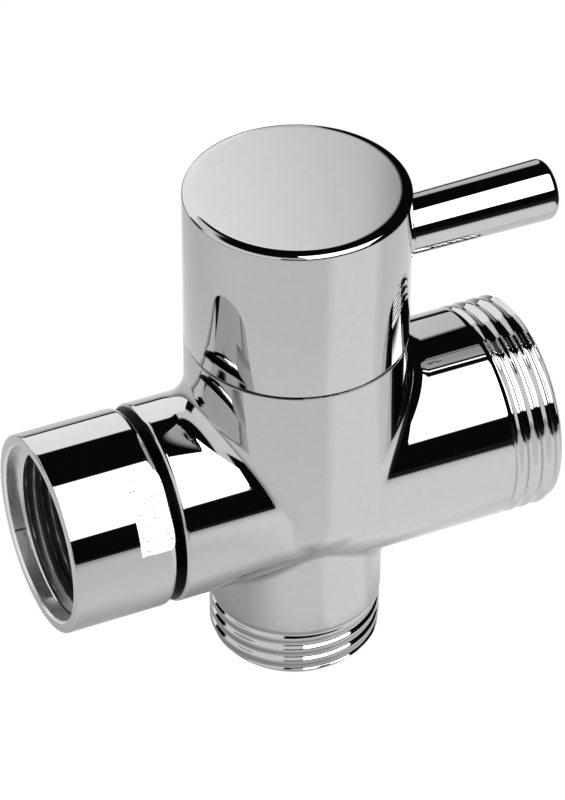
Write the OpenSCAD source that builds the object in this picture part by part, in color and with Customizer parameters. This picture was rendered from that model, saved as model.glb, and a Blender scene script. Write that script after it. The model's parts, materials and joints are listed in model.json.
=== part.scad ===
// Three way diverter valve for a half inch shower or garden line, in millimetres.
// A swivel nut joins it to the supply. A lever cap turns a ceramic disc that sends
// the water to the run outlet, to the branch below, or to both.
//
// Frame: X runs along the pipe, with the inlet nut at -X and the run outlet at +X.
// Z is the spindle axis, up, and -Y is the front. The origin is the centre of the
// branch's end face, and the run axis lies branch_end above it. The pieces are drawn
// about the run axis and lifted at the end. At rest the lever points along +X, which
// opens the run outlet.

/* [Barrel and cap] */
// Radius of the upright barrel and of the cap that turns above it
barrel_r = 13.1; // [12.9:0.05:13.4]
// Height of the barrel's top face above the run axis
barrel_top = 19.55; // [19.4:0.05:19.8]
// Open seam between the barrel and the cap
seam = 0.3; // [0.15:0.05:0.5]
// Height of the cap's top face above the run axis
cap_top = 39.7; // [39.4:0.1:41]
// Rounding of the cap's upper rim
cap_rim = 1.25; // [0.6:0.05:1.8]

/* [Lever] */
// Height of the lever's axis above the run axis
lever_z = 30.2; // [29.5:0.1:31.5]
// Distance from the spindle axis to the lever's tip
lever_tip = 32.2; // [31.6:0.1:32.6]
// Lever radius beside the cap
lever_root_r = 3.45; // [3.2:0.05:3.7]
// Lever radius near the tip
lever_tip_r = 3.65; // [3.2:0.05:4.2]

/* [Run] */
// Radius of the inlet arm
inlet_arm_r = 12; // [11.5:0.05:12.5]
// Distance from the spindle axis to the inlet arm's end face
inlet_arm_end = 19.15; // [18.8:0.05:19.3]
// Radius of the outlet arm's smooth part
outlet_arm_r = 12.9; // [12.3:0.05:12.95]
// Distance from the spindle axis to the run outlet's end face
outlet_end = 29.5; // [29:0.1:31]

/* [Branch] */
// Radius of the branch's smooth neck
branch_neck_r = 10.2; // [10:0.05:10.2]
// Distance from the run axis down to the branch's end face
branch_end = 25.5; // [25:0.1:28]

/* [Threads] */
// Pitch of all three pipe threads, 14 to the inch
pitch = 1.814; // [1.7:0.001:1.9]
// Depth from crest to root
thread_depth = 1.162; // [0.9:0.001:1.2]
// Crest radius of the three quarter inch outlet thread
run_thread_r = 13.1; // [13.1:0.01:13.22]
// Crest radius of the half inch branch thread
branch_thread_r = 10.4; // [10.34:0.01:10.47]
// Number of crests on the outlet thread
outlet_crests = 4; // [3:1:4]
// Number of whole crests on the branch thread, above the one that its end cuts down
branch_crests = 3; // [2:1:3]

/* [Swivel nut] */
// Outer radius of the swivel nut
nut_r = 11.94; // [11.8:0.02:12.2]
// Distance from the spindle axis to the nut's open mouth
nut_mouth = 32.85; // [32.5:0.05:34]
// Distance from the spindle axis to the nut's rear face
nut_rear = 20.1; // [20:0.05:20.2]
// Root radius of the nut's half inch inside thread
nut_thread_r = 10.48; // [10.45:0.01:10.55]
// Number of crests of the nut's inside thread
nut_crests = 4; // [3:1:4]
// Distance from the nut's axis to its two wrench flats
flat_distance = 10.95; // [10.9:0.01:11.3]
// Length of the wrench flats along the nut
flat_length = 4.5; // [3:0.1:6]
// Angle of the first wrench flat, from the front upwards
flat_angle = 36; // [0:1:90]

/* [Water ways] */
// Bore of the inlet arm
inlet_bore_r = 5.5; // [5:0.1:5.8]
// Bore of the run outlet behind its mouth
run_bore_r = 4.5; // [4:0.1:4.5]
// Wide bore inside the run outlet's thread
run_mouth_r = 9.5; // [9:0.1:10]
// Bore of the branch
branch_bore_r = 7.5; // [7:0.1:7.8]
// Radius of the two ports in the chamber floor
port_r = 3; // [2.6:0.1:3.1]
// Distance of each port from the spindle axis
port_x = 4.4; // [4.2:0.05:4.6]

/* [Cartridge] */
// Radius of the cartridge chamber in the barrel
chamber_r = 10; // [9.9:0.05:10.1]
// Height of the chamber's floor above the run axis
chamber_floor = 5; // [4.9:0.05:5.1]
// Thickness of the rubber port seal
seal_t = 1.2; // [1:0.05:1.3]
// Radius of both ceramic discs
disc_r = 7.9; // [7.7:0.05:7.9]
// Thickness of each ceramic disc
disc_t = 2.2; // [2:0.05:2.25]
// Radius of the spindle where it turns in the housing
stem_r = 4; // [3.8:0.05:4.1]
// Across flats of the gland nut's hexagon
gland_af = 18.6; // [17:0.1:19]

/* [Hidden] */
$fn = 96;

// Cutting tools overrun the faces they open by this much.
over = 1;
// Play between faces that rest on one another, and radial play of turning fits.
seat = 0.02;
run_gap = 0.05;

// Threads: 55 degree flanks, with the flat that is left over shared by crest and root.
flank = thread_depth * tan(27.5);
crest = (pitch - 2 * flank) / 2;
function span(crests) = (crests - 1) * pitch + 2 * flank + crest;
end_chamfer = 0.9;
run_root_r = run_thread_r - thread_depth;
run_thread_start = outlet_end - span(outlet_crests) - end_chamfer;

// The branch's end is a 45 degree cone that cuts down its last ridge.
branch_tail = 1.72;
branch_root_r = branch_thread_r - thread_depth;
branch_thread_start = branch_end - span(branch_crests) - branch_tail;
cut_foot = branch_thread_start + branch_crests * pitch;
cut_part = (branch_end - cut_foot) / (thread_depth + flank);

// Inlet spigot, which carries the swivel nut on a snap ring.
arm_chamfer = 0.55;
spigot_r = 8.55;
spigot_end = 22.5;
groove_near = 21.3;
groove_far = 22.1;
groove_r = 7.7;
ring_r = 9.15;
lip_end = 21.2;

// Swivel nut's inside, measured from the spindle axis towards the mouth.
nut_minor_r = nut_thread_r - thread_depth;
nut_thread_end = nut_mouth - 1.9;
nut_thread_start = nut_thread_end - span(nut_crests);
nut_edge = 1.2;
nut_lead_r = nut_thread_r + 0.04;
washer_r = nut_minor_r - 0.12;
washer_t = 1.4;
strainer_t = 0.35;
strainer_rings = 4;
strainer_hole_r = 0.45;
strainer_step = 1.25;

// Depth of the cone that leads from the barrel's front down to the branch.
barrel_foot = 6;

// Water ways in the body.
riser_x = 12.9;
riser_r = 4;
riser_bottom = -1.5;
riser_top = 9;
run_bore_z = -1;
run_bore_start = port_x - port_r - 0.6;
run_mouth_x = 16;
branch_bore_top = -9;

// Cartridge, from the chamber floor up.
seal_z = chamber_floor + seat;
fixed_z = chamber_floor + seal_t;
moving_z = fixed_z + disc_t;
fork_z = moving_z + disc_t;
sleeve_in_r = disc_r + 0.15;
sleeve_out_r = 9.2;
key_w = 1.8;
key_r = disc_r - 0.65;
key_play = 0.1;
peg_r = 0.55;
peg_y = 8.6;
peg_deep = 1.2;
window_w = 7;
window_h = 2.8;
plate_z = fork_z + 3.2;
plate_top = plate_z + 2.4;
plate_r = chamber_r - 0.1;
o_ring_r = 0.76;
o_groove_r = 8.4;
neck_r = 6.5;
neck_top = plate_top + 8.8;
thread_bore_r = chamber_r + 0.85;

// Drive fork and its stop: the fork spans 120 degrees and the stop nearly 60,
// which leaves the half turn of travel.
fork_half = 60;
stop_half = 29;
stop_r = 5.6;
fork_t = 1.8;
fork_r = disc_r - 0.5;
window_half = 75;
drive_peg_r = 1;
drive_peg_at = 5.2;
drive_peg_deep = 1.4;
drive_peg_angles = [150, 210];
core_r = 2.6;
shoulder_r = 5.4;
shoulder_t = 0.8;

// Spindle seals, clip and spline.
stem_ring_r = 0.7;
stem_ring_at = stem_r - stem_ring_r + 0.03;
stem_groove_r = stem_ring_at - stem_ring_r - 0.03;
stem_groove_w = 1.5;
stem_rings_z = [plate_top + 2.3, plate_top + 5.3];
clip_z = neck_top + 0.1;
clip_t = 0.7;
clip_r = 5.2;
clip_groove_r = 3.2;
spline_z = clip_z + clip_t + 0.2;
spindle_top = 35;
teeth = 20;
spline_root_r = 3.3;
spline_tip_r = 3.7;

// Adapter and cap, from the cap's lower edge up.
cap_bottom = barrel_top + seam;
cap_hollow_r = 11.3;
cap_hollow_top = 26.2;
adapter_z = 26.6;
adapter_top = 36;
adapter_af = 11.9;
adapter_web = 0.8;
socket_top = cap_top - 2.1;
pocket_in_r = 9.2;
pocket_out_r = 11.4;
pocket_top = cap_top - 3.5;
screw_r = 1.95;
screw_head_r = 3.4;
screw_head_t = 1.3;
screw_bottom = 28.5;

// Lever and the stud that clamps the cap to the adapter.
stud_r = 2.5;
stud_in = 5.4;
stud_out = 20;
flare = 0.35;
tip_round = 1;

gland_head_t = 3.8;
gland_z = plate_top + seat;
gland_bore_r = neck_r + run_gap;

chrome = [0.80, 0.81, 0.82];
brass = [0.78, 0.62, 0.30];
steel = [0.66, 0.67, 0.69];
rubber = [0.10, 0.10, 0.11];
ceramic = [0.93, 0.93, 0.90];
plastic = [0.86, 0.86, 0.82];

// Lifts a piece from about the run axis to where the branch stands on its end face.
module standing() translate([0, 0, branch_end]) children();

// Lays a shape that is drawn along Z along the run, so that its top points to +X.
module along_run() rotate([0, 90, 0]) children();

// Lays it towards the inlet, so that its top points to -X.
module towards_inlet() rotate([0, -90, 0]) children();

// Round bar between two heights.
module bar(r, z0, z1) translate([0, 0, z0]) cylinder(r = r, h = z1 - z0);

// Tube between two heights.
module tube(r_out, r_in, z0, z1) {
    difference() {
        bar(r_out, z0, z1);
        bar(r_in, z0 - over, z1 + over);
    }
}

// Hexagonal bar between two heights, with a flat towards +X.
module hex_bar(af, z0, z1) {
    rotate([0, 0, 30]) translate([0, 0, z0]) cylinder(r = af / 2 / cos(30), h = z1 - z0, $fn = 6);
}

// Wedge of a disc about the direction +X, less than a half turn wide.
module wedge(r, half, z0, z1) {
    reach = r / cos(half / 2) + over;
    translate([0, 0, z0]) linear_extrude(z1 - z0) polygon([
        [0, 0],
        [reach * cos(half), -reach * sin(half)],
        [reach, -reach * tan(half / 2)],
        [reach, reach * tan(half / 2)],
        [reach * cos(half), reach * sin(half)]
    ]);
}

// Part of a ring, from r_in to r_out, about the direction +X.
module ring_sector(r_in, r_out, half, z0, z1) {
    intersection() {
        tube(r_out, r_in, z0, z1);
        wedge(r_out, half, z0 - over, z1 + over);
    }
}

// O-ring at a height.
module o_ring(r, section, z) {
    translate([0, 0, z]) rotate_extrude() translate([r, 0]) circle(r = section, $fn = 48);
}

// Outline of a run of thread ridges between radius low and radius high, from height z.
function ridges(low, high, z, count) = [
    for (i = [0 : count - 1]) each [
        [low, z + i * pitch],
        [high, z + i * pitch + flank],
        [high, z + i * pitch + flank + crest],
        [low, z + i * pitch + 2 * flank + crest]
    ]
];

// Outside thread behind the outline of a smooth neck, with the outline of its end.
module threaded_end(neck, r, start, crests, tail) {
    rotate_extrude() polygon(concat(
        [[0, 0]], neck, ridges(r - thread_depth, r, start, crests), tail
    ));
}

module body_outside() {
    bar(barrel_r, 0, barrel_top);
    translate([0, 0, -barrel_foot]) cylinder(r1 = branch_neck_r, r2 = barrel_r, h = barrel_foot);
    along_run() threaded_end(
        [[outlet_arm_r, 0], [outlet_arm_r, run_thread_start - crest]],
        run_thread_r, run_thread_start, outlet_crests,
        [[run_root_r - end_chamfer / 2, outlet_end], [0, outlet_end]]
    );
    rotate([180, 0, 0]) threaded_end(
        [[branch_neck_r, 0], [branch_neck_r, branch_thread_start - crest - flank],
         [branch_root_r, branch_thread_start - crest]],
        branch_thread_r, branch_thread_start, branch_crests,
        [[branch_root_r, cut_foot],
         [branch_root_r + cut_part * thread_depth, cut_foot + cut_part * flank],
         [branch_root_r, branch_end], [0, branch_end]]
    );
    towards_inlet() rotate_extrude() polygon([
        [0, 0],
        [inlet_arm_r, 0],
        [inlet_arm_r, inlet_arm_end - arm_chamfer],
        [inlet_arm_r - arm_chamfer, inlet_arm_end],
        [spigot_r, inlet_arm_end],
        [spigot_r, groove_near],
        [groove_r, groove_near],
        [groove_r, groove_far],
        [spigot_r, groove_far],
        [spigot_r, spigot_end],
        [0, spigot_end]
    ]);
}

module body_water_ways() {
    towards_inlet() bar(inlet_bore_r, riser_x, spigot_end + over);
    translate([-riser_x, 0, 0]) bar(riser_r, riser_bottom, riser_top);
    translate([0, 0, run_bore_z]) along_run() bar(run_bore_r, run_bore_start, run_mouth_x + over);
    along_run() bar(run_mouth_r, run_mouth_x, outlet_end + over);
    bar(branch_bore_r, -branch_end - over, branch_bore_top);
    translate([port_x, 0, 0]) bar(port_r, run_bore_z, chamber_floor + over);
    translate([-port_x, 0, 0]) bar(port_r, branch_bore_top - over, chamber_floor + over);
}

module body_chamber() {
    bar(chamber_r, chamber_floor, barrel_top + over);
    bar(thread_bore_r, plate_top, barrel_top + over);
    for (side = [-1, 1]) {
        translate([0, side * peg_y, 0])
            bar(peg_r + run_gap, chamber_floor - peg_deep - over / 10, chamber_floor + over);
    }
}

// Chromed brass casting: barrel, inlet arm with its spigot, run outlet and branch.
module valve_body() color(chrome) {
    difference() {
        body_outside();
        body_water_ways();
        body_chamber();
    }
}

module wrench_flat(angle) {
    rotate([90 - angle, 0, 0])
        translate([-nut_rear - flat_length, -nut_r, flat_distance])
            cube([flat_length + over, 2 * nut_r, nut_r]);
}

// Swivel nut that turns on the spigot and screws onto the supply.
module swivel_nut() color(chrome) {
    difference() {
        towards_inlet() difference() {
            rotate_extrude() {
                translate([0, nut_rear]) square([nut_r - nut_edge, nut_mouth - nut_rear]);
                translate([0, nut_rear + nut_edge])
                    square([nut_r, nut_mouth - nut_rear - nut_edge]);
                translate([nut_r - nut_edge, nut_rear + nut_edge]) circle(r = nut_edge);
            }
            rotate_extrude() polygon(concat(
                [[0, nut_rear - over], [spigot_r + run_gap, nut_rear - over],
                 [spigot_r + run_gap, lip_end], [ring_r + 0.45, lip_end],
                 [ring_r + 0.45, nut_thread_start - crest], [nut_thread_r, nut_thread_start]],
                ridges(nut_thread_r, nut_minor_r, nut_thread_start, nut_crests),
                [[nut_lead_r, nut_thread_end], [nut_lead_r, nut_mouth + over],
                 [0, nut_mouth + over]]
            ));
        }
        wrench_flat(flat_angle);
        wrench_flat(flat_angle + 180);
    }
}

// Snap ring in the spigot's groove, open on one side.
module nut_retaining_ring() color(steel) {
    gap = 2.4;
    towards_inlet() difference() {
        tube(ring_r, groove_r + run_gap, groove_near + run_gap, groove_far - run_gap);
        translate([0, -gap / 2, groove_near]) cube([ring_r + over, gap, groove_far - groove_near]);
    }
}

// Fibre washer that the supply pipe's end presses on.
module inlet_washer() color(rubber) {
    near = spigot_end + strainer_t + 2 * seat;
    towards_inlet() tube(washer_r, inlet_bore_r, near, near + washer_t);
}

// Thin perforated disc between the washer and the spigot.
module inlet_strainer() color(steel) {
    near = spigot_end + seat;
    towards_inlet() difference() {
        bar(washer_r, near, near + strainer_t);
        bar(strainer_hole_r, near - over, near + strainer_t + over);
        for (ring = [1 : strainer_rings - 1]) {
            for (i = [0 : 6 * ring - 1]) {
                rotate([0, 0, i * 60 / ring]) translate([ring * strainer_step, 0, 0])
                    bar(strainer_hole_r, near - over, near + strainer_t + over);
            }
        }
    }
}

// Disc blank with both ports and a notch at each side for the housing's keys.
module ported_disc(z0, z1) {
    difference() {
        bar(disc_r, z0, z1);
        for (side = [-1, 1]) {
            translate([side * port_x, 0, 0]) bar(port_r, z0 - over, z1 + over);
            translate([0, side * (key_r - key_play + over), (z0 + z1) / 2])
                cube([key_w + 2 * key_play, 2 * over, z1 - z0 + 2 * over], center = true);
        }
    }
}

// Rubber seal between the chamber floor's ports and the fixed disc.
module port_seal() color(rubber) ported_disc(seal_z, fixed_z - seat);

// Ceramic disc that stays still.
module fixed_disc() color(ceramic) ported_disc(fixed_z, moving_z - seat);

// Ceramic disc that turns with the spindle and uncovers one port or both.
module rotating_disc() color(ceramic) {
    top = fork_z - seat;
    difference() {
        bar(disc_r, moving_z, top);
        ring_sector(port_x - port_r, port_x + port_r, window_half, moving_z - over, top + over);
        for (angle = drive_peg_angles) {
            rotate([0, 0, angle]) translate([drive_peg_at, 0, 0])
                bar(drive_peg_r + run_gap, fork_z - drive_peg_deep - run_gap, top + over);
        }
    }
}

// Plastic housing around the discs, keyed to the body, with the neck that the
// spindle turns in.
module cartridge_housing() color(plastic) {
    difference() {
        union() {
            tube(sleeve_out_r, sleeve_in_r, seal_z, plate_z);
            bar(plate_r, plate_z, plate_top - seat);
            bar(neck_r, plate_top - over, neck_top);
        }
        for (angle = [0, 90, 180]) {
            rotate([0, 0, angle]) translate([sleeve_out_r, 0, fork_z + window_h / 2])
                cube([2 * (sleeve_out_r - stop_r), window_w, window_h - run_gap], center = true);
        }
        bar(stem_r + run_gap, plate_z - over, neck_top + over);
        tube(plate_r + over, o_groove_r, (plate_z + plate_top) / 2 - o_ring_r - run_gap,
             (plate_z + plate_top) / 2 + o_ring_r + run_gap);
    }
    for (side = [-1, 1]) {
        translate([0, side * (key_r + sleeve_out_r - run_gap) / 2, (seal_z + moving_z - key_play) / 2])
            cube([key_w, sleeve_out_r - run_gap - key_r, moving_z - key_play - seal_z], center = true);
        translate([0, side * peg_y, 0]) bar(peg_r, chamber_floor - peg_deep, seal_z + over);
    }
    rotate([0, 0, -90])
        ring_sector(stop_r, sleeve_in_r + run_gap, stop_half, fork_z + 0.2, fork_z + fork_t - run_gap);
}

// Seal between the housing's plate and the chamber wall.
module housing_o_ring() color(rubber) {
    o_ring(o_groove_r + o_ring_r + 0.04, o_ring_r, (plate_z + plate_top) / 2);
}

// Brass nut that screws into the barrel and holds the cartridge down.
module gland_nut() color(brass) {
    difference() {
        union() {
            bar(thread_bore_r - run_gap, gland_z, barrel_top);
            hex_bar(gland_af, barrel_top + seat, barrel_top + gland_head_t);
            bar(neck_r + over, gland_z, barrel_top + over);
        }
        bar(gland_bore_r, gland_z - over, barrel_top + gland_head_t + over);
    }
}

// Outline of the spline: flat topped teeth around a round core.
module spline(grow, z0, z1) {
    step = 360 / teeth;
    translate([0, 0, z0]) linear_extrude(z1 - z0) polygon([
        for (i = [0 : teeth - 1]) each [
            for (corner = [[-0.34, spline_root_r], [-0.16, spline_tip_r],
                           [0.16, spline_tip_r], [0.34, spline_root_r]])
                (corner[1] + grow) * [cos((i + corner[0]) * step), sin((i + corner[0]) * step)]
        ]
    ]);
}

// Brass spindle: drive fork, shoulder, sealed stem, clip groove and splined end.
module spindle() color(brass) {
    shoulder_z = fork_z + fork_t;
    difference() {
        union() {
            bar(core_r, fork_z, shoulder_z + over / 2);
            rotate([0, 0, 180])
                ring_sector(core_r - over, fork_r, fork_half, fork_z, shoulder_z);
            for (angle = drive_peg_angles) {
                rotate([0, 0, angle]) translate([drive_peg_at, 0, 0])
                    bar(drive_peg_r, fork_z - drive_peg_deep, fork_z + over / 2);
            }
            bar(shoulder_r, shoulder_z, shoulder_z + shoulder_t);
            bar(stem_r, shoulder_z, spline_z);
            spline(0, spline_z - over / 2, spindle_top);
        }
        for (z = stem_rings_z) {
            tube(stem_r + over, stem_groove_r, z - stem_groove_w / 2, z + stem_groove_w / 2);
        }
        tube(stem_r + over, clip_groove_r, clip_z - run_gap, clip_z + clip_t + run_gap);
        bar(screw_r + run_gap, screw_bottom - over, spindle_top + over);
    }
}

// Two seals between the spindle and the neck of the housing.
module spindle_o_rings() color(rubber) {
    for (z = stem_rings_z) o_ring(stem_ring_at, stem_ring_r, z);
}

// Slip washer between the spindle's shoulder and the housing's plate.
module thrust_washer() color(plastic) {
    tube(shoulder_r + over, stem_r + run_gap, fork_z + fork_t + shoulder_t + seat, plate_z - seat);
}

// Clip that keeps the spindle in the housing, open on one side.
module spindle_clip() color(steel) {
    gap = 2 * clip_groove_r - 0.8;
    difference() {
        tube(clip_r, clip_groove_r + run_gap, clip_z, clip_z + clip_t);
        translate([0, -gap / 2, clip_z - over]) cube([clip_r + over, gap, clip_t + 2 * over]);
    }
}

// Plastic adapter between the spline and the cap's hexagonal socket.
module spline_adapter() color(plastic) {
    difference() {
        hex_bar(adapter_af, adapter_z, adapter_top);
        spline(run_gap, adapter_z - over, adapter_top - adapter_web);
        bar(screw_r + 2 * run_gap, adapter_z, adapter_top + over);
        translate([0, 0, lever_z]) along_run() bar(stud_r + run_gap, stud_in - run_gap, adapter_af);
    }
}

// Screw that holds the adapter on the spindle, with a cross recess.
module adapter_screw() color(steel) {
    head_z = adapter_top + seat;
    slot_w = 0.7;
    slot_deep = 0.8;
    difference() {
        union() {
            bar(screw_r, screw_bottom, head_z + over / 2);
            bar(screw_head_r, head_z, head_z + screw_head_t);
        }
        for (angle = [0, 90]) {
            rotate([0, 0, angle]) translate([-screw_head_r / 2, -slot_w / 2, head_z + screw_head_t - slot_deep])
                cube([screw_head_r, slot_w, slot_deep + over]);
        }
    }
}

// Chromed cap that turns on the barrel, with a socket for the adapter inside.
module handle_cap() color(chrome) {
    difference() {
        rotate_extrude() {
            translate([0, cap_bottom]) square([barrel_r, cap_top - cap_rim - cap_bottom]);
            translate([0, cap_bottom]) square([barrel_r - cap_rim, cap_top - cap_bottom]);
            translate([barrel_r - cap_rim, cap_top - cap_rim]) circle(r = cap_rim);
        }
        bar(cap_hollow_r, cap_bottom - over, cap_hollow_top);
        tube(pocket_out_r, pocket_in_r, cap_hollow_top - over, pocket_top);
        hex_bar(adapter_af + 2 * run_gap, cap_hollow_top - over, socket_top);
        translate([0, 0, lever_z]) along_run() bar(stud_r + run_gap, 0, barrel_r + over);
    }
}

// Round lever, slightly thicker towards its tip, with a flared root that fits the cap.
module lever() color(chrome) {
    straight = barrel_r + 1.1;
    difference() {
        translate([0, 0, lever_z]) along_run() rotate_extrude() {
            polygon([
                [0, barrel_r - over],
                [lever_root_r + flare, barrel_r - over],
                [lever_root_r + flare / 4, barrel_r + 0.3],
                [lever_root_r, straight],
                [lever_tip_r, lever_tip - tip_round],
                [lever_tip_r - tip_round, lever_tip],
                [0, lever_tip]
            ]);
            translate([lever_tip_r - tip_round, lever_tip - tip_round]) circle(r = tip_round);
        }
        bar(barrel_r + seat, 0, cap_top);
        translate([0, 0, lever_z]) along_run() bar(stud_r + run_gap, 0, stud_out + 0.4);
    }
}

// Headless stud that joins the lever to the cap and bears on the adapter.
module lever_stud() color(steel) {
    translate([0, 0, lever_z]) along_run() bar(stud_r, stud_in, stud_out);
}

standing() valve_body();
standing() swivel_nut();
standing() nut_retaining_ring();
standing() inlet_washer();
standing() inlet_strainer();
standing() port_seal();
standing() fixed_disc();
standing() rotating_disc();
standing() cartridge_housing();
standing() housing_o_ring();
standing() gland_nut();
standing() spindle();
standing() spindle_o_rings();
standing() thrust_washer();
standing() spindle_clip();
standing() spline_adapter();
standing() adapter_screw();
standing() handle_cap();
standing() lever();
standing() lever_stud();
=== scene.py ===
"""Looks for the three way valve: chromed casting, swivel nut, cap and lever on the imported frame.

The four chromed pieces are rebuilt as finished meshes: the casting with its blended fillets, and
true right hand pipe threads in place of the rings of the CAD solids. Shapes are drawn in
millimetres, in the frame's own axes with the height counted from the run axis, and turned into
metres when a piece is finished.
"""

import json
import math

import bmesh
import bpy
import numpy as np
from mathutils import Matrix, Vector


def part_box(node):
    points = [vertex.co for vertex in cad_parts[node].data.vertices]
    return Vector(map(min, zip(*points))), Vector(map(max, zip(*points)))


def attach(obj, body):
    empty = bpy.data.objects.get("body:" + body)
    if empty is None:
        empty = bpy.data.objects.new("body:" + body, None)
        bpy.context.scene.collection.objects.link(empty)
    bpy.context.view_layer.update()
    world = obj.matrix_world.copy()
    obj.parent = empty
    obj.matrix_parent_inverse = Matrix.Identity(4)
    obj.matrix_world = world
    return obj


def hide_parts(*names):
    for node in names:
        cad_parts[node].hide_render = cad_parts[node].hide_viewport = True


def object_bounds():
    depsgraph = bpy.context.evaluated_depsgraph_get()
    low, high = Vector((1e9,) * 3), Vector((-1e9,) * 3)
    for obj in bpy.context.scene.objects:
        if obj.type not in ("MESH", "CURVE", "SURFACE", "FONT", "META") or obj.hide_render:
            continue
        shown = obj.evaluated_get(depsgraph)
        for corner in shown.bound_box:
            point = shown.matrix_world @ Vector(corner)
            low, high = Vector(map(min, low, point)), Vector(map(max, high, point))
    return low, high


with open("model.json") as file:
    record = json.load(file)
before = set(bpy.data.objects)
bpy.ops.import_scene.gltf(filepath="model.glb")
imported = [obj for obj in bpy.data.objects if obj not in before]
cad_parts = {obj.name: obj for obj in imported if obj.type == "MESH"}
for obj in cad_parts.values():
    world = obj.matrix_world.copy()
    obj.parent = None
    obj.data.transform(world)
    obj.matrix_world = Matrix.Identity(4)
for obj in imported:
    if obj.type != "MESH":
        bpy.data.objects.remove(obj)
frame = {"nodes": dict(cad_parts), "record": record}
cad_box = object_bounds()

# ---------------------------------------------------------------- sizes, in millimetres

MM = 0.001

# Height of the run axis: the swivel nut is round about it.
RUN_Z = round(sum(corner[2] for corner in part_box("swivel_nut")) / 2 / MM, 2)


def size_of(node):
    """A CAD node's two corners in millimetres, with their height counted from the run axis."""
    lo, hi = ([round(v / MM, 2) for v in corner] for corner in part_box(node))
    lo[2], hi[2] = round(lo[2] - RUN_Z, 2), round(hi[2] - RUN_Z, 2)
    return lo, hi


body_lo, body_hi = size_of("valve_body")
nut_lo, nut_hi = size_of("swivel_nut")
cap_lo, cap_hi = size_of("handle_cap")
lever_hi = size_of("lever")[1]
stud_lo, stud_hi = size_of("lever_stud")
housing_lo = size_of("cartridge_housing")[0]
adapter_lo, adapter_hi = size_of("spline_adapter")

PITCH = 25.4 / 14
THREAD_DEPTH = 0.640 * PITCH
# Depth of the outside grooves as plating and polishing leave them.
PLATED_DEPTH = 0.4
SEGMENTS = 256

BARREL_R = cap_hi[1]
BARREL_TOP = body_hi[2]
RUN_THREAD_R = 12.9
BRANCH_THREAD_R = 10.4
INLET_ARM_R = 12.0
INLET_ARM_END = 19.15
OUTLET_ARM_R = 12.85
OUTLET_END = body_hi[0]
BRANCH_END = -body_lo[2]
SPIGOT_END = -body_lo[0]
SPIGOT_R = 8.55
# Near side, far side and floor radius of the retaining ring's groove.
RING_GROOVE = (21.3, 22.1, 7.7)
NUT_R = nut_hi[1]
NUT_MOUTH = -nut_lo[0]
NUT_REAR = -nut_hi[0]
NUT_THREAD_R = 10.48
NUT_MINOR_R = NUT_THREAD_R - THREAD_DEPTH
# Smooth lead between the nut's mouth and its thread.
NUT_LEAD = 1.9
FLAT_LENGTH = 4.5
FLAT_DISTANCE = 10.95
FLAT_ANGLES = (36, 216)
LEVER_Z = (stud_lo[2] + stud_hi[2]) / 2
LEVER_TIP = lever_hi[0]

# ---------------------------------------------------------------- mesh building


def arc(centre, radius, start, end, steps=8):
    """Points [along, out] on an arc. Angles are in degrees, 0 along the axis, 90 outwards."""
    turn = np.radians(np.linspace(start, end, steps + 1))
    return [(centre[0] + radius * math.cos(t), centre[1] + radius * math.sin(t)) for t in turn]


def revolve(rows, axis, segments=SEGMENTS):
    """Vertices of rings round an axis: "+x", "-x", "+z" or "-z".

    A row is (along, out), where out is a radius or a function of the angle.
    """
    turn = np.arange(segments) * 2 * math.pi / segments
    rings = []
    for along, out in rows:
        radius = out(turn) if callable(out) else np.full(segments, float(out))
        a, b, c = radius * np.cos(turn), radius * np.sin(turn), np.full(segments, float(along))
        place = {"+x": (c, a, b), "-x": (-c, -a, b), "+z": (a, b, c), "-z": (a, -b, -c)}[axis]
        rings.append(np.stack(place, 1))
    return np.array(rings)


def ring_faces(rings, segments, first=0):
    """Quads between neighbouring rings of a revolved shape."""
    quads = []
    for r in range(rings - 1):
        for i in range(segments):
            j = (i + 1) % segments
            low, high = first + r * segments, first + (r + 1) * segments
            quads.append((low + i, low + j, high + j, high + i))
    return quads


def turned(name, rows, axis, closed=True, segments=SEGMENTS):
    """Solid of revolution. A closed one has an outline that comes back to its first row."""
    rings = revolve(rows, axis, segments)
    count = len(rings)
    verts = rings.reshape(-1, 3)
    faces = ring_faces(count, segments)
    if closed:
        for i in range(segments):
            j = (i + 1) % segments
            last = (count - 1) * segments
            faces.append((last + i, last + j, j, i))
    else:
        faces.append(tuple(range(segments)))
        faces.append(tuple((count - 1) * segments + i for i in reversed(range(segments))))
    return solid(name, verts, faces)


def rod(radius, start, end, axis, segments=SEGMENTS // 2):
    """Plain cylinder used for cutting."""
    return turned("tool", [(start, radius), (end, radius)], axis, False, segments)


def solid(name, verts, faces):
    """Mesh object from vertices and faces in millimetres, with its faces pointing outwards."""
    mesh = bpy.data.meshes.new(name)
    mesh.from_pydata([tuple(v) for v in verts], [], faces)
    work = bmesh.new()
    work.from_mesh(mesh)
    bmesh.ops.recalc_face_normals(work, faces=work.faces)
    if work.calc_volume(signed=True) < 0:
        bmesh.ops.reverse_faces(work, faces=work.faces)
    work.to_mesh(mesh)
    work.free()
    obj = bpy.data.objects.new(name, mesh)
    bpy.context.collection.objects.link(obj)
    return obj


def block(lo, hi):
    """Box from its two corners, used for cutting."""
    corners = [(x, y, z) for x in (lo[0], hi[0]) for y in (lo[1], hi[1]) for z in (lo[2], hi[2])]
    faces = [(0, 1, 3, 2), (4, 6, 7, 5), (0, 4, 5, 1), (2, 3, 7, 6), (0, 2, 6, 4), (1, 5, 7, 3)]
    return solid("tool", corners, faces)


def carve(obj, tools):
    """Takes tools away from obj, one at a time, and deletes them."""
    for tool in tools:
        step = obj.modifiers.new("carve", "BOOLEAN")
        step.operation = "DIFFERENCE"
        step.solver = "MANIFOLD"
        step.object = tool
        graph = bpy.context.evaluated_depsgraph_get()
        shape = bpy.data.meshes.new_from_object(obj.evaluated_get(graph))
        obj.modifiers.clear()
        obj.data = shape
        bpy.data.objects.remove(tool)
    return obj


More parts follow.
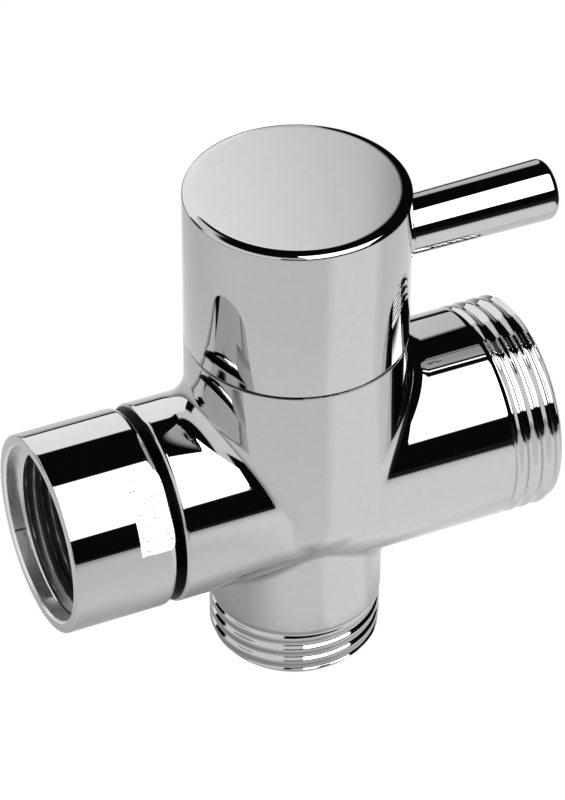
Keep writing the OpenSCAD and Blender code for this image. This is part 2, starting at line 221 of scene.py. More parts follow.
def thread(axis_start, axis_end, crest_r, smooth_r, inside=False, steps=20):
    """Rows of a right hand pipe thread between two places on an axis.

    An outside groove is shallow, as plating and polishing leave it, and fades in over three
    quarters of its first turn from the smooth radius behind it. An inside one has its full depth.
    """
    rows = []
    count = int(round((axis_end - axis_start) / PITCH * steps))
    root_r = crest_r - PLATED_DEPTH

    def ring(along):
        fade = min(1.0, (along - axis_start) / (0.75 * PITCH))
        fade = fade * fade * (3 - 2 * fade)

        def radius(turn):
            phase = (along - axis_start) / PITCH - turn / (2 * math.pi)
            rise = 1 - 2 * np.abs(phase % 1 - 0.5)
            rise = np.clip((rise - 0.17) / 0.66, 0, 1)
            rise = 0.35 * rise + 0.65 * rise * rise * (3 - 2 * rise)
            groove = 1 - rise
            if inside:
                return smooth_r + (crest_r - smooth_r) * groove
            return smooth_r + ((root_r + (crest_r - root_r) * rise) - smooth_r) * fade
        return radius

    for i in range(count + 1):
        along = axis_start + (axis_end - axis_start) * i / count
        rows.append((along, ring(along)))
    return rows


# ---------------------------------------------------------------- the casting's blended shape

FILLET = 2.8
FLAT_FILLET = (2.8, 4.2)
BRANCH_FILLET = 2.0
FOOT = 6.2
ARM_STEP = 4.0
NET_STEP = 0.4


def rounded_union(a, b, dot, radius):
    """Distance to the union of two shapes with a rolling ball fillet between them."""
    c = np.clip(dot, -0.98, 0.98)
    u, v = radius - a, radius - b
    ball = (u > 0) & (v > 0) & (u > c * v) & (v > c * u)
    reach = np.sqrt(np.maximum(u * u + v * v - 2 * c * u * v, 0) / (1 - c * c))
    return np.where(ball, radius - reach, np.minimum(a, b))


def casting(p):
    """Signed distance, in millimetres, to the barrel, both arms and the branch, with fillets."""
    x, y, z = p[..., 0], p[..., 1], p[..., 2]
    step = np.clip((x + ARM_STEP) / (2 * ARM_STEP), 0, 1)
    step = step * step * (3 - 2 * step)
    run_r = INLET_ARM_R + (OUTLET_ARM_R - INLET_ARM_R) * step
    out_run = np.sqrt(y * y + z * z) + 1e-9
    out_up = np.sqrt(x * x + y * y) + 1e-9
    run = out_run - run_r
    below = np.minimum(z, 0) / FOOT
    slope = 2 * (BARREL_R - BRANCH_THREAD_R) * below / FOOT
    barrel = (out_up - BARREL_R + (BARREL_R - BRANCH_THREAD_R) * below * below)
    barrel = barrel / np.sqrt(1 + slope * slope)
    branch = np.where(z < 0, out_up, np.sqrt(out_up * out_up + z * z)) - BRANCH_THREAD_R
    dot = y * y / (out_run * out_up)
    flat_fillet = FLAT_FILLET[0] + (FLAT_FILLET[1] - FLAT_FILLET[0]) * step
    fillet = FILLET + (flat_fillet - FILLET) * dot ** 3
    upper = rounded_union(barrel, run, dot, fillet)
    return rounded_union(upper, branch, dot, BRANCH_FILLET + 1.5 * dot ** 3)


def slope_of(field, p, h=1e-3):
    """Gradient of a field by central differences."""
    grad = np.empty_like(p)
    for k in range(3):
        d = np.zeros(3)
        d[k] = h
        grad[..., k] = (field(p + d) - field(p - d)) / (2 * h)
    return grad


def surface_net(field, lo, hi, step):
    """Quad mesh on the field's zero surface, open where the grid ends."""
    axes = [np.arange(lo[k], hi[k] + step / 2, step) for k in range(3)]
    grid = np.stack(np.meshgrid(*axes, indexing="ij"), -1)
    value = field(grid)
    inside = value < 0
    cells = tuple(n - 1 for n in value.shape)
    total, count = np.zeros(cells + (3,)), np.zeros(cells)
    crossings = []
    for k in range(3):
        near, far = [slice(None)] * 3, [slice(None)] * 3
        near[k], far[k] = slice(None, -1), slice(1, None)
        near, far = tuple(near), tuple(far)
        hit = inside[near] != inside[far]
        share = np.where(hit, value[near] / np.where(hit, value[near] - value[far], 1), 0)
        point = grid[near].copy()
        point[..., k] += share * step
        crossings.append(hit)
        others = [a for a in range(3) if a != k]
        for u in (0, 1):
            for v in (0, 1):
                part = [slice(None)] * 3
                part[others[0]] = slice(u, cells[others[0]] + u)
                part[others[1]] = slice(v, cells[others[1]] + v)
                part = tuple(part)
                total += hit[part][..., None] * point[part]
                count += hit[part]
    used = count > 0
    index = np.full(cells, -1)
    index[used] = np.arange(used.sum())
    verts = total[used] / count[used][:, None]
    faces = []
    for k, hit in enumerate(crossings):
        u, v = (k + 1) % 3, (k + 2) % 3
        places = np.argwhere(hit)
        limit = np.array(cells)
        keep = (places[:, u] > 0) & (places[:, u] < limit[u])
        keep &= (places[:, v] > 0) & (places[:, v] < limit[v])
        places = places[keep]
        corners = []
        for du, dv in ((1, 1), (0, 1), (0, 0), (1, 0)):
            cell = places.copy()
            cell[:, u] -= du
            cell[:, v] -= dv
            corners.append(index[tuple(cell.T)])
        faces.extend(np.stack(corners, 1).tolist())
    for _ in range(4):
        grad = slope_of(field, verts)
        verts = verts - (field(verts) / (grad ** 2).sum(-1))[:, None] * grad
    return verts, faces


def open_loops(faces):
    """Loops of vertex numbers along the open edges of a face list."""
    once = {}
    for face in faces:
        for a, b in zip(face, face[1:] + face[:1]):
            key = (min(a, b), max(a, b))
            once[key] = once.get(key, 0) + 1
    links = {}
    for (a, b), n in once.items():
        if n == 1:
            links.setdefault(a, []).append(b)
            links.setdefault(b, []).append(a)
    loops = []
    while links:
        start = next(iter(links))
        loop, here = [start], start
        while True:
            there = links[here].pop()
            links[there].remove(here)
            if not links[here]:
                del links[here]
            if there == start:
                if not links[start]:
                    del links[start]
                break
            loop.append(there)
            here = there
        loops.append(loop)
    return loops


def zip_rings(loop_a, turn_a, loop_b, turn_b):
    """Triangles between two loops that run round the same axis."""
    def in_order(loop, turn):
        turn = np.unwrap(turn)
        if turn[-1] < turn[0]:
            loop, turn = loop[::-1], turn[::-1]
        first = int(np.argmin(np.mod(turn, 2 * math.pi)))
        loop, turn = np.roll(loop, -first), np.roll(turn, -first)
        turn = np.unwrap(turn)
        turn = turn - 2 * math.pi * math.floor(turn[0] / (2 * math.pi))
        return list(loop), list(turn)

    loop_a, turn_a = in_order(np.array(loop_a), np.array(turn_a))
    loop_b, turn_b = in_order(np.array(loop_b), np.array(turn_b))
    turn_a.append(turn_a[0] + 2 * math.pi)
    turn_b.append(turn_b[0] + 2 * math.pi)
    i = j = 0
    faces = []
    while i < len(loop_a) or j < len(loop_b):
        a, b = loop_a[i % len(loop_a)], loop_b[j % len(loop_b)]
        if j >= len(loop_b) or (i < len(loop_a) and turn_a[i + 1] <= turn_b[j + 1]):
            i += 1
            faces.append((a, loop_a[i % len(loop_a)], b))
        else:
            j += 1
            faces.append((a, loop_b[j % len(loop_b)], b))
    return faces


def casting_mesh(ends):
    """One closed mesh: the blended middle and the four turned ends, zipped together."""
    lo = (-INLET_ARM_END + 1.53, -BARREL_R - 0.93, -16.97)
    hi = (21.4, BARREL_R + 0.9, BARREL_TOP - 0.9)
    verts, faces = surface_net(casting, lo, hi, NET_STEP)
    loops = open_loops(faces)
    verts = [verts]
    total = len(verts[0])
    for axis, rows in ends:
        rings = revolve(rows, axis)
        ring_count = len(rings)
        first = total
        verts.append(rings.reshape(-1, 3))
        total += ring_count * SEGMENTS
        faces.extend(ring_faces(ring_count, SEGMENTS, first))
        faces.append(tuple(first + (ring_count - 1) * SEGMENTS + i for i in range(SEGMENTS)))
        k = 0 if axis[1] == "x" else 2
        sign = 1 if axis[0] == "+" else -1
        loop = max(loops, key=lambda l: sign * verts[0][l, k].mean())
        u, v = ((1, 2) if k == 0 else (0, 1))
        near, far = verts[0][loop], rings[0]
        faces.extend(zip_rings(loop, np.arctan2(near[:, v], near[:, u]),
                               list(range(first, first + SEGMENTS)),
                               np.arctan2(far[:, v], far[:, u])))
    return np.concatenate(verts), faces


def smooth_by(obj, field=None, angle=28):
    """Smooth shading with sharp corners, and exact normals where a vertex lies on the field."""
    mesh = obj.data
    mesh.polygons.foreach_set("use_smooth", [True] * len(mesh.polygons))
    mesh.set_sharp_from_angle(angle=math.radians(angle))
    if field is None:
        return
    points = np.empty(len(mesh.vertices) * 3)
    mesh.vertices.foreach_get("co", points)
    points = points.reshape(-1, 3)
    grad = slope_of(field, points)
    grad /= np.linalg.norm(grad, axis=1)[:, None] + 1e-12
    on = np.abs(field(points)) < 2e-3
    corner = np.empty(len(mesh.loops), int)
    mesh.loops.foreach_get("vertex_index", corner)
    starts = np.empty(len(mesh.polygons), int)
    mesh.polygons.foreach_get("loop_start", starts)
    face_of = np.searchsorted(starts, np.arange(len(mesh.loops)), side="right") - 1
    facing = np.empty(len(mesh.polygons) * 3)
    mesh.polygons.foreach_get("normal", facing)
    facing = facing.reshape(-1, 3)[face_of]
    wanted = grad[corner]
    fits = on[corner] & ((wanted * facing).sum(1) > math.cos(math.radians(24)))
    mesh.normals_split_custom_set(np.where(fits[:, None], wanted, 0.0).tolist())


def paint(obj, choose, sharp=()):
    """Gives each face the material that choose picks, with sharp edges round some of them."""
    mesh = obj.data
    count = len(mesh.polygons)
    centre, facing = np.empty(count * 3), np.empty(count * 3)
    mesh.polygons.foreach_get("center", centre)
    mesh.polygons.foreach_get("normal", facing)
    index = choose(centre.reshape(-1, 3), facing.reshape(-1, 3))
    mesh.polygons.foreach_set("material_index", index)
    corners, edge = np.empty(count, int), np.empty(len(mesh.loops), int)
    mesh.polygons.foreach_get("loop_total", corners)
    mesh.loops.foreach_get("edge_index", edge)
    chosen = np.repeat(np.isin(index, sharp), corners)
    marked = np.bincount(edge, chosen, len(mesh.edges))
    border = (marked > 0) & (marked < np.bincount(edge, None, len(mesh.edges)))
    flags = np.empty(len(mesh.edges), bool)
    mesh.edges.foreach_get("use_edge_sharp", flags)
    mesh.edges.foreach_set("use_edge_sharp", flags | border)


# ---------------------------------------------------------------- materials


def grey(level):
    """Colour with three equal parts."""
    return (level, level, level)


def new_material(name):
    """Empty node material with its principled shader."""
    material = bpy.data.materials.new(name)
    material.use_nodes = True
    return material, material.node_tree, material.node_tree.nodes["Principled BSDF"]


def noise(tree, scale, detail=2.0, stretch=(1, 1, 1)):
    """Noise over the object's own coordinates, in metres."""
    place = tree.nodes.new("ShaderNodeTexCoord")
    mapping = tree.nodes.new("ShaderNodeMapping")
    mapping.inputs["Scale"].default_value = stretch
    texture = tree.nodes.new("ShaderNodeTexNoise")
    texture.inputs["Scale"].default_value = scale
    texture.inputs["Detail"].default_value = detail
    tree.links.new(place.outputs["Object"], mapping.inputs["Vector"])
    tree.links.new(mapping.outputs["Vector"], texture.inputs["Vector"])
    return texture.outputs["Fac"]


def spread(tree, value, low, high, at=(0.0, 1.0)):
    """Maps a value from one range to another."""
    node = tree.nodes.new("ShaderNodeMapRange")
    node.inputs["From Min"].default_value, node.inputs["From Max"].default_value = at
    node.inputs["To Min"].default_value, node.inputs["To Max"].default_value = low, high
    tree.links.new(value, node.inputs["Value"])
    return node.outputs["Result"]


def bump(tree, shader, height, strength, distance):
    """Adds a bump to the shader, on top of any bump it has."""
    node = tree.nodes.new("ShaderNodeBump")
    node.inputs["Strength"].default_value = strength
    node.inputs["Distance"].default_value = distance
    tree.links.new(height, node.inputs["Height"])
    if shader.inputs["Normal"].links:
        tree.links.new(shader.inputs["Normal"].links[0].from_socket, node.inputs["Normal"])
    tree.links.new(node.outputs["Normal"], shader.inputs["Normal"])


def tint(tree, value, dark, light, at=(0.3, 0.7)):
    """Colour between two tones, driven by a value."""
    ramp = tree.nodes.new("ShaderNodeValToRGB")
    ramp.color_ramp.elements[0].position, ramp.color_ramp.elements[1].position = at
    ramp.color_ramp.elements[0].color = (*dark, 1)
    ramp.color_ramp.elements[1].color = (*light, 1)
    tree.links.new(value, ramp.inputs["Fac"])
    return ramp.outputs["Color"]


def finish_material(name, metallic, dark, light, rough, grain, relief=0.0, stretch=(1, 1, 1)):
    """General procedural material: mottled colour, uneven gloss and a fine relief."""
    material, tree, shader = new_material(name)
    pattern = noise(tree, grain, 4, stretch)
    shader.inputs["Metallic"].default_value = metallic
    tree.links.new(tint(tree, pattern, dark, light), shader.inputs["Base Color"])
    gloss = spread(tree, pattern, rough[0], rough[1], (0.3, 0.7))
    tree.links.new(gloss, shader.inputs["Roughness"])
    if relief:
        bump(tree, shader, pattern, 0.3, relief)
    return material


def chrome_material(name, lines=None):
    """Mirror chrome with a faint haze and the slow ripple of polishing, or with cutting lines."""
    material, tree, shader = new_material(name)
    shader.inputs["Metallic"].default_value = 1
    haze = noise(tree, 900, 4)
    colour = tint(tree, haze, grey(0.56), grey(0.576))
    tree.links.new(colour, shader.inputs["Base Color"])
    tree.links.new(spread(tree, haze, 0.015, 0.035, (0.35, 0.75)), shader.inputs["Roughness"])
    bump(tree, shader, noise(tree, 140, 1), 0.05, 0.00002)
    if lines:
        bump(tree, shader, noise(tree, 60, 3, lines), 0.35, 0.00001)
    return material


chrome = chrome_material("mirror_chrome")
run_turned = chrome_material("chrome_cut_along_run", (60, 1, 1))
branch_turned = chrome_material("chrome_cut_along_branch", (1, 1, 60))
# Painted shade: metal far darker than the chrome, with rough tooling lines, for the shaded inside
# thread of the nut.
painted_thread_shade = finish_material("tapped_bore_painted_shade", 1, grey(0.20), grey(0.30), (0.30, 0.42),
                         900, 0.00002, (8, 1, 1))
# Painted light: a rougher metal lighter than the chrome, standing in for the bright reflection in
# the nut's smooth lead.
painted_lead_light = finish_material("bored_lead_painted_light", 1, grey(0.78), grey(0.88), (0.26, 0.40),
                        700, 0.00002, (8, 1, 1))
# Painted shade: near-black material for the shaded gap between the swivel nut and the inlet arm.
painted_gap_shade = finish_material("painted_gap_shade_material", 1, grey(0.03), grey(0.05), (0.35, 0.50), 900)
milled = finish_material("milled_chrome", 1, grey(0.56), grey(0.68), (0.05, 0.3),
                         900, 0.00012, (1, 8, 1))
FINISHES = {
    "raw_brass": finish_material("raw_brass", 1, (0.62, 0.44, 0.17), (0.74, 0.56, 0.26),
                                 (0.18, 0.34), 700, 0.00003),
    "stainless": finish_material("stainless", 1, (0.50, 0.50, 0.51), (0.66, 0.66, 0.67),
                                 (0.16, 0.32), 1200, 0.00002, (1, 1, 6)),
    "seal_rubber": finish_material("seal_rubber", 0, (0.012, 0.012, 0.013), (0.03, 0.03, 0.032),
                                   (0.45, 0.65), 1500, 0.00003),
    "ceramic": finish_material("ceramic", 0, (0.80, 0.80, 0.76), (0.90, 0.90, 0.87),
                               (0.12, 0.22), 500, 0.00001),
    "acetal": finish_material("acetal", 0, (0.70, 0.70, 0.65), (0.82, 0.82, 0.78),
                              (0.35, 0.5), 600, 0.00003),
}

for part in frame["record"]["subparts"]:
    if part["material_slot"] in FINISHES:
        node = frame["nodes"][part["node"]]
        node.data.materials.clear()
        node.data.materials.append(FINISHES[part["material_slot"]])


def finish_piece(obj, body, node, materials, field=None, choose=None, sharp=()):
    """Shades a piece, turns it into metres and puts it in the place of its CAD node."""
    smooth_by(obj, field)
    obj.data.materials.clear()
    for material in materials:
        obj.data.materials.append(material)
    if choose:
        paint(obj, choose, sharp)
    obj.data.transform(Matrix.Scale(MM, 4) @ Matrix.Translation((0, 0, RUN_Z)))
    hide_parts(node)
    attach(obj, body)
    return obj


# ---------------------------------------------------------------- pieces

RIM = 0.25
ARM_CHAMFER = 0.6
END_CHAMFER = 0.9
BRANCH_CHAMFER = 1.7
RUN_NECK = 7.2
BRANCH_NECK = 7.59
RUN_MOUTH_R = 9.5
BRANCH_BORE_R = 7.5
STUD_HOLE_R = 2.55


def inlet_end():
    """Inlet arm's chamfered end face and the spigot with its ring groove."""
    near, far, low = RING_GROOVE
    rows = [(INLET_ARM_END - 1.3, INLET_ARM_R), (INLET_ARM_END - ARM_CHAMFER - 0.15, INLET_ARM_R)]
    rows += arc((INLET_ARM_END - ARM_CHAMFER, INLET_ARM_R - ARM_CHAMFER), ARM_CHAMFER, 90, 0)
    rows += [(INLET_ARM_END, INLET_ARM_R - ARM_CHAMFER - 0.2), (INLET_ARM_END, SPIGOT_R),
             (near, SPIGOT_R), (near, low), (far, low), (far, SPIGOT_R),
             (SPIGOT_END - RIM, SPIGOT_R), (SPIGOT_END, SPIGOT_R - RIM),
             (SPIGOT_END, SPIGOT_R / 2)]
    return rows


def threaded_end(start, end, crest_r, neck_r, mouth_r, chamfer):
    """Smooth neck, outside thread and the rounded end face."""
    rows = [(start - 0.8, neck_r), (start - 0.3, neck_r)]
    body = thread(start, end, crest_r, neck_r)
    root_r = crest_r - THREAD_DEPTH
    top = end - chamfer
    for along, radius in body:
        if along > top + 1e-6:
            share = (along - top) / chamfer
            limit = crest_r - (crest_r - root_r) * share ** 1.5
            rows.append((along, lambda turn, r=radius, m=limit: np.minimum(r(turn), m)))
        else:
            rows.append((along, radius))
    rows.append((end, root_r - 0.25))
    rows.append((end, mouth_r / 2))
    return rows


def barrel_end():
    """Barrel's top edge under the seam."""
    return [(BARREL_TOP - 0.7, BARREL_R), (BARREL_TOP - 0.15, BARREL_R),
            (BARREL_TOP - 0.04, BARREL_R - 0.04), (BARREL_TOP, BARREL_R - 0.15),
            (BARREL_TOP, BARREL_R / 2)]


def make_body():
    """Chromed casting with its water ways and the cartridge chamber."""
    run_start = OUTLET_END - RUN_NECK
    branch_start = BRANCH_END - BRANCH_NECK
    verts, faces = casting_mesh([
        ("-x", inlet_end()),
        ("+x", threaded_end(run_start, OUTLET_END, RUN_THREAD_R, OUTLET_ARM_R, RUN_MOUTH_R,
                            END_CHAMFER)),
        ("-z", threaded_end(branch_start, BRANCH_END, BRANCH_THREAD_R - 0.1, BRANCH_THREAD_R,
                            BRANCH_BORE_R, BRANCH_CHAMFER)),
        ("+z", barrel_end()),
    ])
    body = solid("chromed_body", verts, faces)
    port_x, port_r, floor_z = 4.4, 3.0, 5.0
    riser_x, riser_r = 12.9, 4.0
    run_bore_r, inlet_bore_r = 4.5, 5.5
    chamber_r, gland_r, lead_r = 10.0, 10.85, 11.25
    gland_z = housing_lo[2] + 12.4
    run_bore = rod(run_bore_r, 0.8, 17, "+x")
    run_bore.data.transform(Matrix.Translation((0, 0, -1)))
    riser = rod(riser_r, -1.5, 9, "+z")
    riser.data.transform(Matrix.Translation((-riser_x, 0, 0)))
    run_port = rod(port_r, -1, floor_z + 1, "+z")
    run_port.data.transform(Matrix.Translation((port_x, 0, 0)))
    branch_port = rod(port_r, -10, floor_z + 1, "+z")
    branch_port.data.transform(Matrix.Translation((-port_x, 0, 0)))
    mouth = turned("tool", [(16, RUN_MOUTH_R), (OUTLET_END - 0.5, RUN_MOUTH_R),
                            (OUTLET_END, RUN_MOUTH_R + 0.5),
                            (OUTLET_END + 1, RUN_MOUTH_R + 1.5)], "+x", False)
    branch = turned("tool", [(9, BRANCH_BORE_R), (BRANCH_END - 0.4, BRANCH_BORE_R),
                             (BRANCH_END, BRANCH_BORE_R + 0.4),
                             (BRANCH_END + 1, BRANCH_BORE_R + 1.4)], "-z", False)
    chamber = turned("tool", [(floor_z, chamber_r), (gland_z, chamber_r), (gland_z, gland_r),
                              (BARREL_TOP - 0.3, gland_r), (BARREL_TOP + 0.1, lead_r),
                              (BARREL_TOP + 1, lead_r)], "+z", False)
    inlet = rod(inlet_bore_r, riser_x, SPIGOT_END + 1, "-x")
    carve(body, [run_bore, riser, run_port, branch_port, mouth, branch, chamber, inlet])

    def choose(centre, facing):
        x, z = centre[:, 0], centre[:, 2]
        behind_nut = (facing[:, 0] < -0.8) | (x < -INLET_ARM_END - 0.01)
        # Painted shade: the arm's end face, spigot and ring groove behind the nut get the
        # near-black gap material.
        groove = (x < -INLET_ARM_END + ARM_CHAMFER) & behind_nut
        return np.where(x > run_start, 1, np.where(z < -branch_start, 2, np.where(groove, 3, 0)))

    return finish_piece(body, "valve", "valve_body", [chrome, run_turned, branch_turned, painted_gap_shade],
                        casting, choose)


def make_nut():
    """Swivel nut with its inside thread and two milled wrench flats."""
    edge, lip_end, clear_r = 0.9, 21.2, 9.6
    start, end = 23.95, NUT_MOUTH - NUT_LEAD
    turns = [math.radians(90 - angle) for angle in FLAT_ANGLES]
    normals = [np.array((0, -math.sin(t), math.cos(t))) for t in turns]
    rows = [(NUT_REAR, SPIGOT_R + 0.05), (NUT_REAR, NUT_R - edge - 0.2), (NUT_REAR, NUT_R - edge)]
    rows += arc((NUT_REAR + edge, NUT_R - edge), edge, 180, 90, 12)[1:]
    rows += [(NUT_REAR + edge + 0.2, NUT_R), (NUT_MOUTH - RIM - 0.2, NUT_R)]
    rows += arc((NUT_MOUTH - RIM, NUT_R - RIM), RIM, 90, 0, 8)
    rows += [(NUT_MOUTH, NUT_THREAD_R + 0.3), (NUT_MOUTH - 0.25, NUT_THREAD_R + 0.05)]
    rows += [(end + 0.15, NUT_THREAD_R + 0.03)]
    rows += thread(start, end, NUT_THREAD_R, NUT_MINOR_R, True)[::-1]
    rows += [(start - 0.3, clear_r), (lip_end, clear_r), (lip_end, SPIGOT_R + 0.05)]
    nut = turned("swivel_nut_chromed", rows, "-x")
    flats = []
    for turn in turns:
        flat = block((-NUT_REAR - FLAT_LENGTH, -NUT_R, FLAT_DISTANCE),
                     (-NUT_REAR + 1, NUT_R, NUT_R + 2))
        flat.data.transform(Matrix.Rotation(turn, 4, "X"))
        flats.append(flat)
    carve(nut, flats)

    def choose(centre, facing):
        out = np.hypot(centre[:, 1], centre[:, 2])
        flat = np.max([facing @ n for n in normals], axis=0) > 0.9999
        off_axis = np.max([np.abs(centre @ n) for n in normals], axis=0)
        on_flat = flat & (off_axis < FLAT_DISTANCE + 0.01)
        x = centre[:, 0]
        # Painted shade: the inside thread gets metal far darker than the chrome.
        tapped_part = (out < NUT_THREAD_R + 0.01) & (x > -end) & (x < -NUT_REAR - 0.01)
        # Painted light: the smooth lead at the mouth gets metal lighter than the chrome.
        lead = (out < NUT_THREAD_R + 0.2) & (x <= -end)
        # Painted shade: the nut's rear face toward the arm gets the near-black gap material.
        groove = (x > -NUT_REAR - edge) & (facing[:, 0] > 0.7)
        return np.select([on_flat, tapped_part, lead, groove], [1, 2, 3, 4], 0)

    return finish_piece(nut, "inlet_nut", "swivel_nut", [chrome, milled, painted_thread_shade, painted_lead_light, painted_gap_shade],
                        None, choose, (1,))


def make_cap():
    """Chromed cap with its crowned rim, and the socket and pocket inside it."""
    corner_r, crown_r, turn = 0.5, 1.9, math.radians(60)
    low, top = cap_lo[2], cap_hi[2]
    shoulder = top - corner_r * math.sin(turn) - crown_r * (1 - math.sin(turn))
    crown = BARREL_R - corner_r * (1 - math.cos(turn)) - crown_r * math.cos(turn)
    hollow_r, hollow_top = 11.3, 26.2
    rows = [(low, hollow_r), (low, BARREL_R - 0.15), (low + 0.04, BARREL_R - 0.04),
            (low + 0.15, BARREL_R)]
    rows += [(shoulder - 0.3, BARREL_R)]
    rows += arc((shoulder, BARREL_R - corner_r), corner_r, 90, 30, 12)
    rows += arc((top - crown_r, crown), crown_r, 30, 0, 10)[1:]
    rows += [(top, crown - 0.3), (top, 6.0), (top, 0.01), (hollow_top, 0.01),
             (hollow_top, hollow_r)]
    cap = turned("turning_cap", rows, "+z")
    flat = (adapter_hi[0] - adapter_lo[0]) / 2 + 0.05
    socket = rod(flat / math.cos(math.radians(30)), hollow_top - 1, top - 2.1, "+z", 6)
    socket.data.transform(Matrix.Rotation(math.radians(30), 4, "Z"))
    pocket_in, pocket_out, pocket_top = 9.2, 11.4, top - 3.5
    pocket = turned("tool", [(hollow_top - 1, pocket_in), (pocket_top, pocket_in),
                             (pocket_top, pocket_out), (hollow_top - 1, pocket_out)], "+z")
    stud_hole = rod(STUD_HOLE_R, 3, BARREL_R - 0.5, "+x")
    stud_hole.data.transform(Matrix.Translation((0, 0, LEVER_Z)))
    carve(cap, [socket, pocket, stud_hole])
    return finish_piece(cap, "handle", "handle_cap", [chrome])


def make_lever():
    """Round lever with a flared root fitted to the cap and a rounded tip."""
    root_r, tip_r, tip_round, flare = 3.45, 3.65, 0.95, 0.35
    rows = [(BARREL_R - 1.5, STUD_HOLE_R), (BARREL_R - 1.5, root_r + flare)]
    rows += [(BARREL_R + 0.1 + flare * (1 - math.cos(t)), root_r + flare * (1 - math.sin(t)))
             for t in np.linspace(0, math.pi / 2, 9)]
    rows += [(LEVER_TIP - tip_round - 0.3, tip_r)]
    rows += arc((LEVER_TIP - tip_round, tip_r - tip_round), tip_round, 90, 0, 14)
    rows += [(LEVER_TIP, 1.0), (LEVER_TIP, 0.01), (stud_hi[0] + 0.4, 0.01),
             (stud_hi[0] + 0.4, STUD_HOLE_R)]
    lever = turned("side_lever", rows, "+x")
    lever.data.transform(Matrix.Translation((0, 0, LEVER_Z)))
    carve(lever, [rod(BARREL_R + 0.01, 20, 40, "+z", SEGMENTS * 2)])
    return finish_piece(lever, "handle", "lever", [chrome])


make_body()
make_nut()
make_cap()
make_lever()

# ---------------------------------------------------------------- studio


class Studio:
    """Shader nodes for a pattern of light, laid out by direction."""

    def __init__(self, tree, vector):
        self.tree = tree
        split = tree.nodes.new("ShaderNodeSeparateXYZ")
        tree.links.new(vector, split.inputs["Vector"])
        self.x, self.y, self.z = (split.outputs[k] for k in ("X", "Y", "Z"))
        self.front = self.math("MULTIPLY", self.y, -1)

    def math(self, kind, a, b=None):
        node = self.tree.nodes.new("ShaderNodeMath")
        node.operation = kind
        for k, value in enumerate((a, b)):
            if isinstance(value, (int, float)):
                node.inputs[k].default_value = value
            elif value is not None:
                self.tree.links.new(value, node.inputs[k])
        return node.outputs[0]

    def degrees(self, up, along):
        """Angle of a direction, in degrees."""
        return self.math("MULTIPLY", self.math("ARCTAN2", up, along), 180 / math.pi)

    def ramp(self, value, start, end, low=0.0, high=1.0):
        """Smooth step from low to high."""
        node = self.tree.nodes.new("ShaderNodeMapRange")
        node.interpolation_type = "SMOOTHSTEP"
        node.inputs["From Min"].default_value, node.inputs["From Max"].default_value = start, end
        node.inputs["To Min"].default_value, node.inputs["To Max"].default_value = low, high
        self.tree.links.new(value, node.inputs["Value"])
        return node.outputs["Result"]

    def distance(self, x, y):
        """Distance over the ground from a point."""
        along = self.math("SUBTRACT", self.x, x)
        across = self.math("SUBTRACT", self.y, y)
        squares = [self.math("MULTIPLY", offset, offset) for offset in (along, across)]
        return self.math("SQRT", self.math("ADD", *squares))

    def between(self, value, low, high, soft):
        """One between low and high, falling to zero over a soft edge."""
        rise = self.ramp(value, low - soft, low + soft)
        fall = self.ramp(value, high - soft, high + soft, 1, 0)
        return self.math("MULTIPLY", rise, fall)


def camera_switch(tree, others, camera, output):
    """One shader for the camera and another for every other ray."""
    path = tree.nodes.new("ShaderNodeLightPath")
    pick = tree.nodes.new("ShaderNodeMixShader")
    tree.links.new(path.outputs["Is Camera Ray"], pick.inputs["Fac"])
    tree.links.new(others, pick.inputs[1])
    tree.links.new(camera, pick.inputs[2])
    tree.links.new(pick.outputs["Shader"], output.inputs["Surface"])


def make_world():
    """Soft box above the front right, pale card at the left, pale backdrop behind, dark between.

    To the camera itself the room is plain white.
    """
    world = bpy.data.worlds.new("studio")
    bpy.context.scene.world = world
    world.use_nodes = True
    tree = world.node_tree
    studio = Studio(tree, tree.nodes.new("ShaderNodeTexCoord").outputs["Generated"])
    over = studio.degrees(studio.z, studio.front)
    round_about = studio.degrees(studio.x, studio.front)
    height = studio.math("MULTIPLY", studio.math("ARCSINE", studio.z), 180 / math.pi)
    box = studio.math("MULTIPLY", studio.between(over, 25, 88.5, 1),
                      studio.ramp(round_about, -16, -14, 0, 3.6))
    box = studio.math("MULTIPLY", box, studio.ramp(studio.x, 0.65, 0.70, 1, 0))
    card = studio.math("MULTIPLY", studio.between(round_about, -122, -39, 2),
                       studio.ramp(height, 40, 46, 0.95, 0))
    above = studio.math("MULTIPLY", studio.between(height, 28, 54, 3),
                        studio.ramp(studio.x, -0.06, 0.02, 0.9, 0))
    card = studio.math("MAXIMUM", card, above)
    beside = studio.math("SUBTRACT", 1, studio.between(round_about, -141, 153, 1))
    backdrop = studio.math("MULTIPLY", studio.ramp(over, 136, 138), beside)
    backdrop = studio.math("MULTIPLY", backdrop, studio.ramp(studio.x, 0.305, 0.385, 1.25, 0.75))
    dark = 0.004
    level = studio.math("ADD", studio.math("ADD", box, dark),
                        studio.math("MAXIMUM", card, backdrop))
    room = tree.nodes["Background"]
    room.inputs["Color"].default_value = (1, 1, 1, 1)
    tree.links.new(level, room.inputs["Strength"])
    white = tree.nodes.new("ShaderNodeBackground")
    white.inputs["Color"].default_value = (1, 1, 1, 1)
    camera_switch(tree, room.outputs["Background"], white.outputs["Background"],
                  tree.nodes["World Output"])


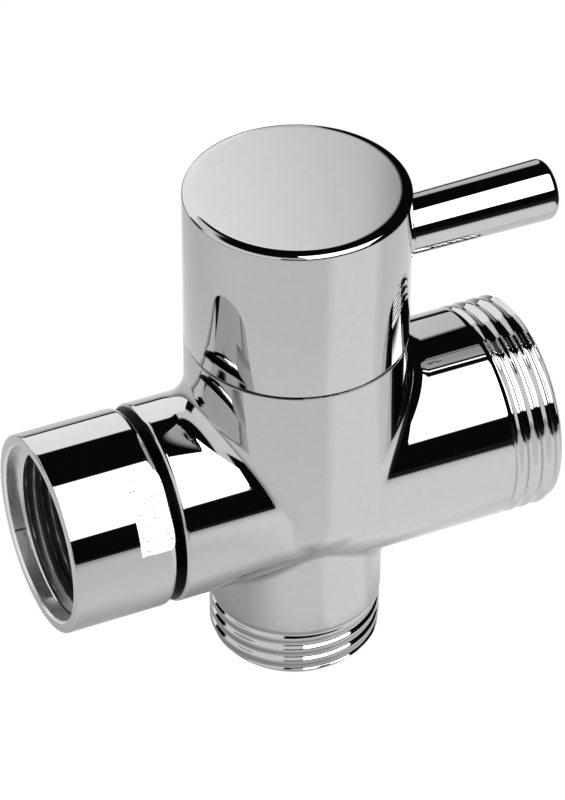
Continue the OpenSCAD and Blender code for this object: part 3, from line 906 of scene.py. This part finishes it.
def make_floor():
    """Plain pale floor under the branch's end face.

    The camera sees it nearly white. In reflections it glows with painted shading by distance and
    direction, painted shadows under the branch and the nut, and a dark edge beyond the outlet.
    """
    half, gap = 1.5, 0.0002
    z = cad_box[0].z - gap
    mesh = bpy.data.meshes.new("floor")
    corners = [(-half, -half, z), (half, -half, z), (half, half, z), (-half, half, z)]
    mesh.from_pydata(corners, [], [(0, 1, 2, 3)])
    floor = bpy.data.objects.new("floor", mesh)
    bpy.context.collection.objects.link(floor)
    material, tree, shader = new_material("pale_floor")
    tree.nodes.remove(shader)
    place = tree.nodes.new("ShaderNodeTexCoord").outputs["Object"]
    studio = Studio(tree, place)
    round_about = studio.degrees(studio.x, studio.front)
    away = studio.distance(0, 0)
    # Painted light falloff for reflections: brighter near the valve, dimmer far off, and a
    # brighter painted sector between the arms' shadows.
    level = studio.math("ADD", studio.ramp(away, 0.03, 0.07, 0.88, 0.82),
                        studio.math("MULTIPLY", studio.between(round_about, 8, 60, 8), 0.2))
    # Painted shade: darker towards the left, a painted shadow round the footprint, dimmer far off,
    # dark beyond the outlet, and a painted shadow pool under the inlet arm and nut.
    for shade in (studio.ramp(round_about, -150, -75, 0.86, 1),
                  studio.ramp(away, 0.010, 0.023, 0.55, 1),
                  studio.ramp(away, 0.08, 0.40, 1, 0.5),
                  studio.ramp(studio.x, 0.09, 0.13, 1, 0.03),
                  studio.ramp(studio.distance(-0.026, 0.004), 0.008, 0.03, 0.6, 1)):
        level = studio.math("MULTIPLY", level, shade)
    level = studio.math("MINIMUM", level, 1)
    # Emission that paints the floor's light and shadows for every ray but the camera's.
    painted_floor_light = tree.nodes.new("ShaderNodeEmission")
    tree.links.new(level, painted_floor_light.inputs["Strength"])
    paper = tree.nodes.new("ShaderNodeBsdfDiffuse")
    paper.inputs["Color"].default_value = (0.7, 0.7, 0.7, 1)
    glow = tree.nodes.new("ShaderNodeEmission")
    glow.inputs["Strength"].default_value = 1.02
    seen = tree.nodes.new("ShaderNodeMixShader")
    seen.inputs["Fac"].default_value = 0.97
    tree.links.new(paper.outputs["BSDF"], seen.inputs[1])
    tree.links.new(glow.outputs["Emission"], seen.inputs[2])
    camera_switch(tree, painted_floor_light.outputs["Emission"], seen.outputs["Shader"],
                  tree.nodes["Material Output"])
    mesh.materials.append(material)


def make_camera():
    """Camera above the inlet's front, with a long lens."""
    azimuth, elevation, roll = math.radians(-24.816), math.radians(38.502), math.radians(0.262)
    distance, aim_right, aim_up = 489.0, -1.54, 7.145
    sensor, focal_px, tall_px = 36.0, 4124.5, 800
    level = math.cos(elevation)
    back = Vector((math.sin(azimuth) * level, -math.cos(azimuth) * level, math.sin(elevation)))
    right = Vector((math.cos(azimuth), math.sin(azimuth), 0))
    up = back.cross(right)
    place = (right * aim_right + up * aim_up + back * distance + Vector((0, 0, RUN_Z))) * MM
    tilt_right = right * math.cos(roll) + up * math.sin(roll)
    tilt_up = up * math.cos(roll) - right * math.sin(roll)
    lens = bpy.data.cameras.new("camera")
    lens.sensor_width = sensor
    lens.sensor_fit = "AUTO"
    lens.lens = focal_px * sensor / tall_px
    lens.clip_start, lens.clip_end = 0.01, 20
    camera = bpy.data.objects.new("camera", lens)
    camera.matrix_world = Matrix((
        (tilt_right.x, tilt_up.x, back.x, place.x),
        (tilt_right.y, tilt_up.y, back.y, place.y),
        (tilt_right.z, tilt_up.z, back.z, place.z),
        (0, 0, 0, 1)))
    bpy.context.collection.objects.link(camera)
    bpy.context.scene.camera = camera


make_world()
make_floor()
make_camera()
bpy.context.scene.view_settings.view_transform = "Standard"
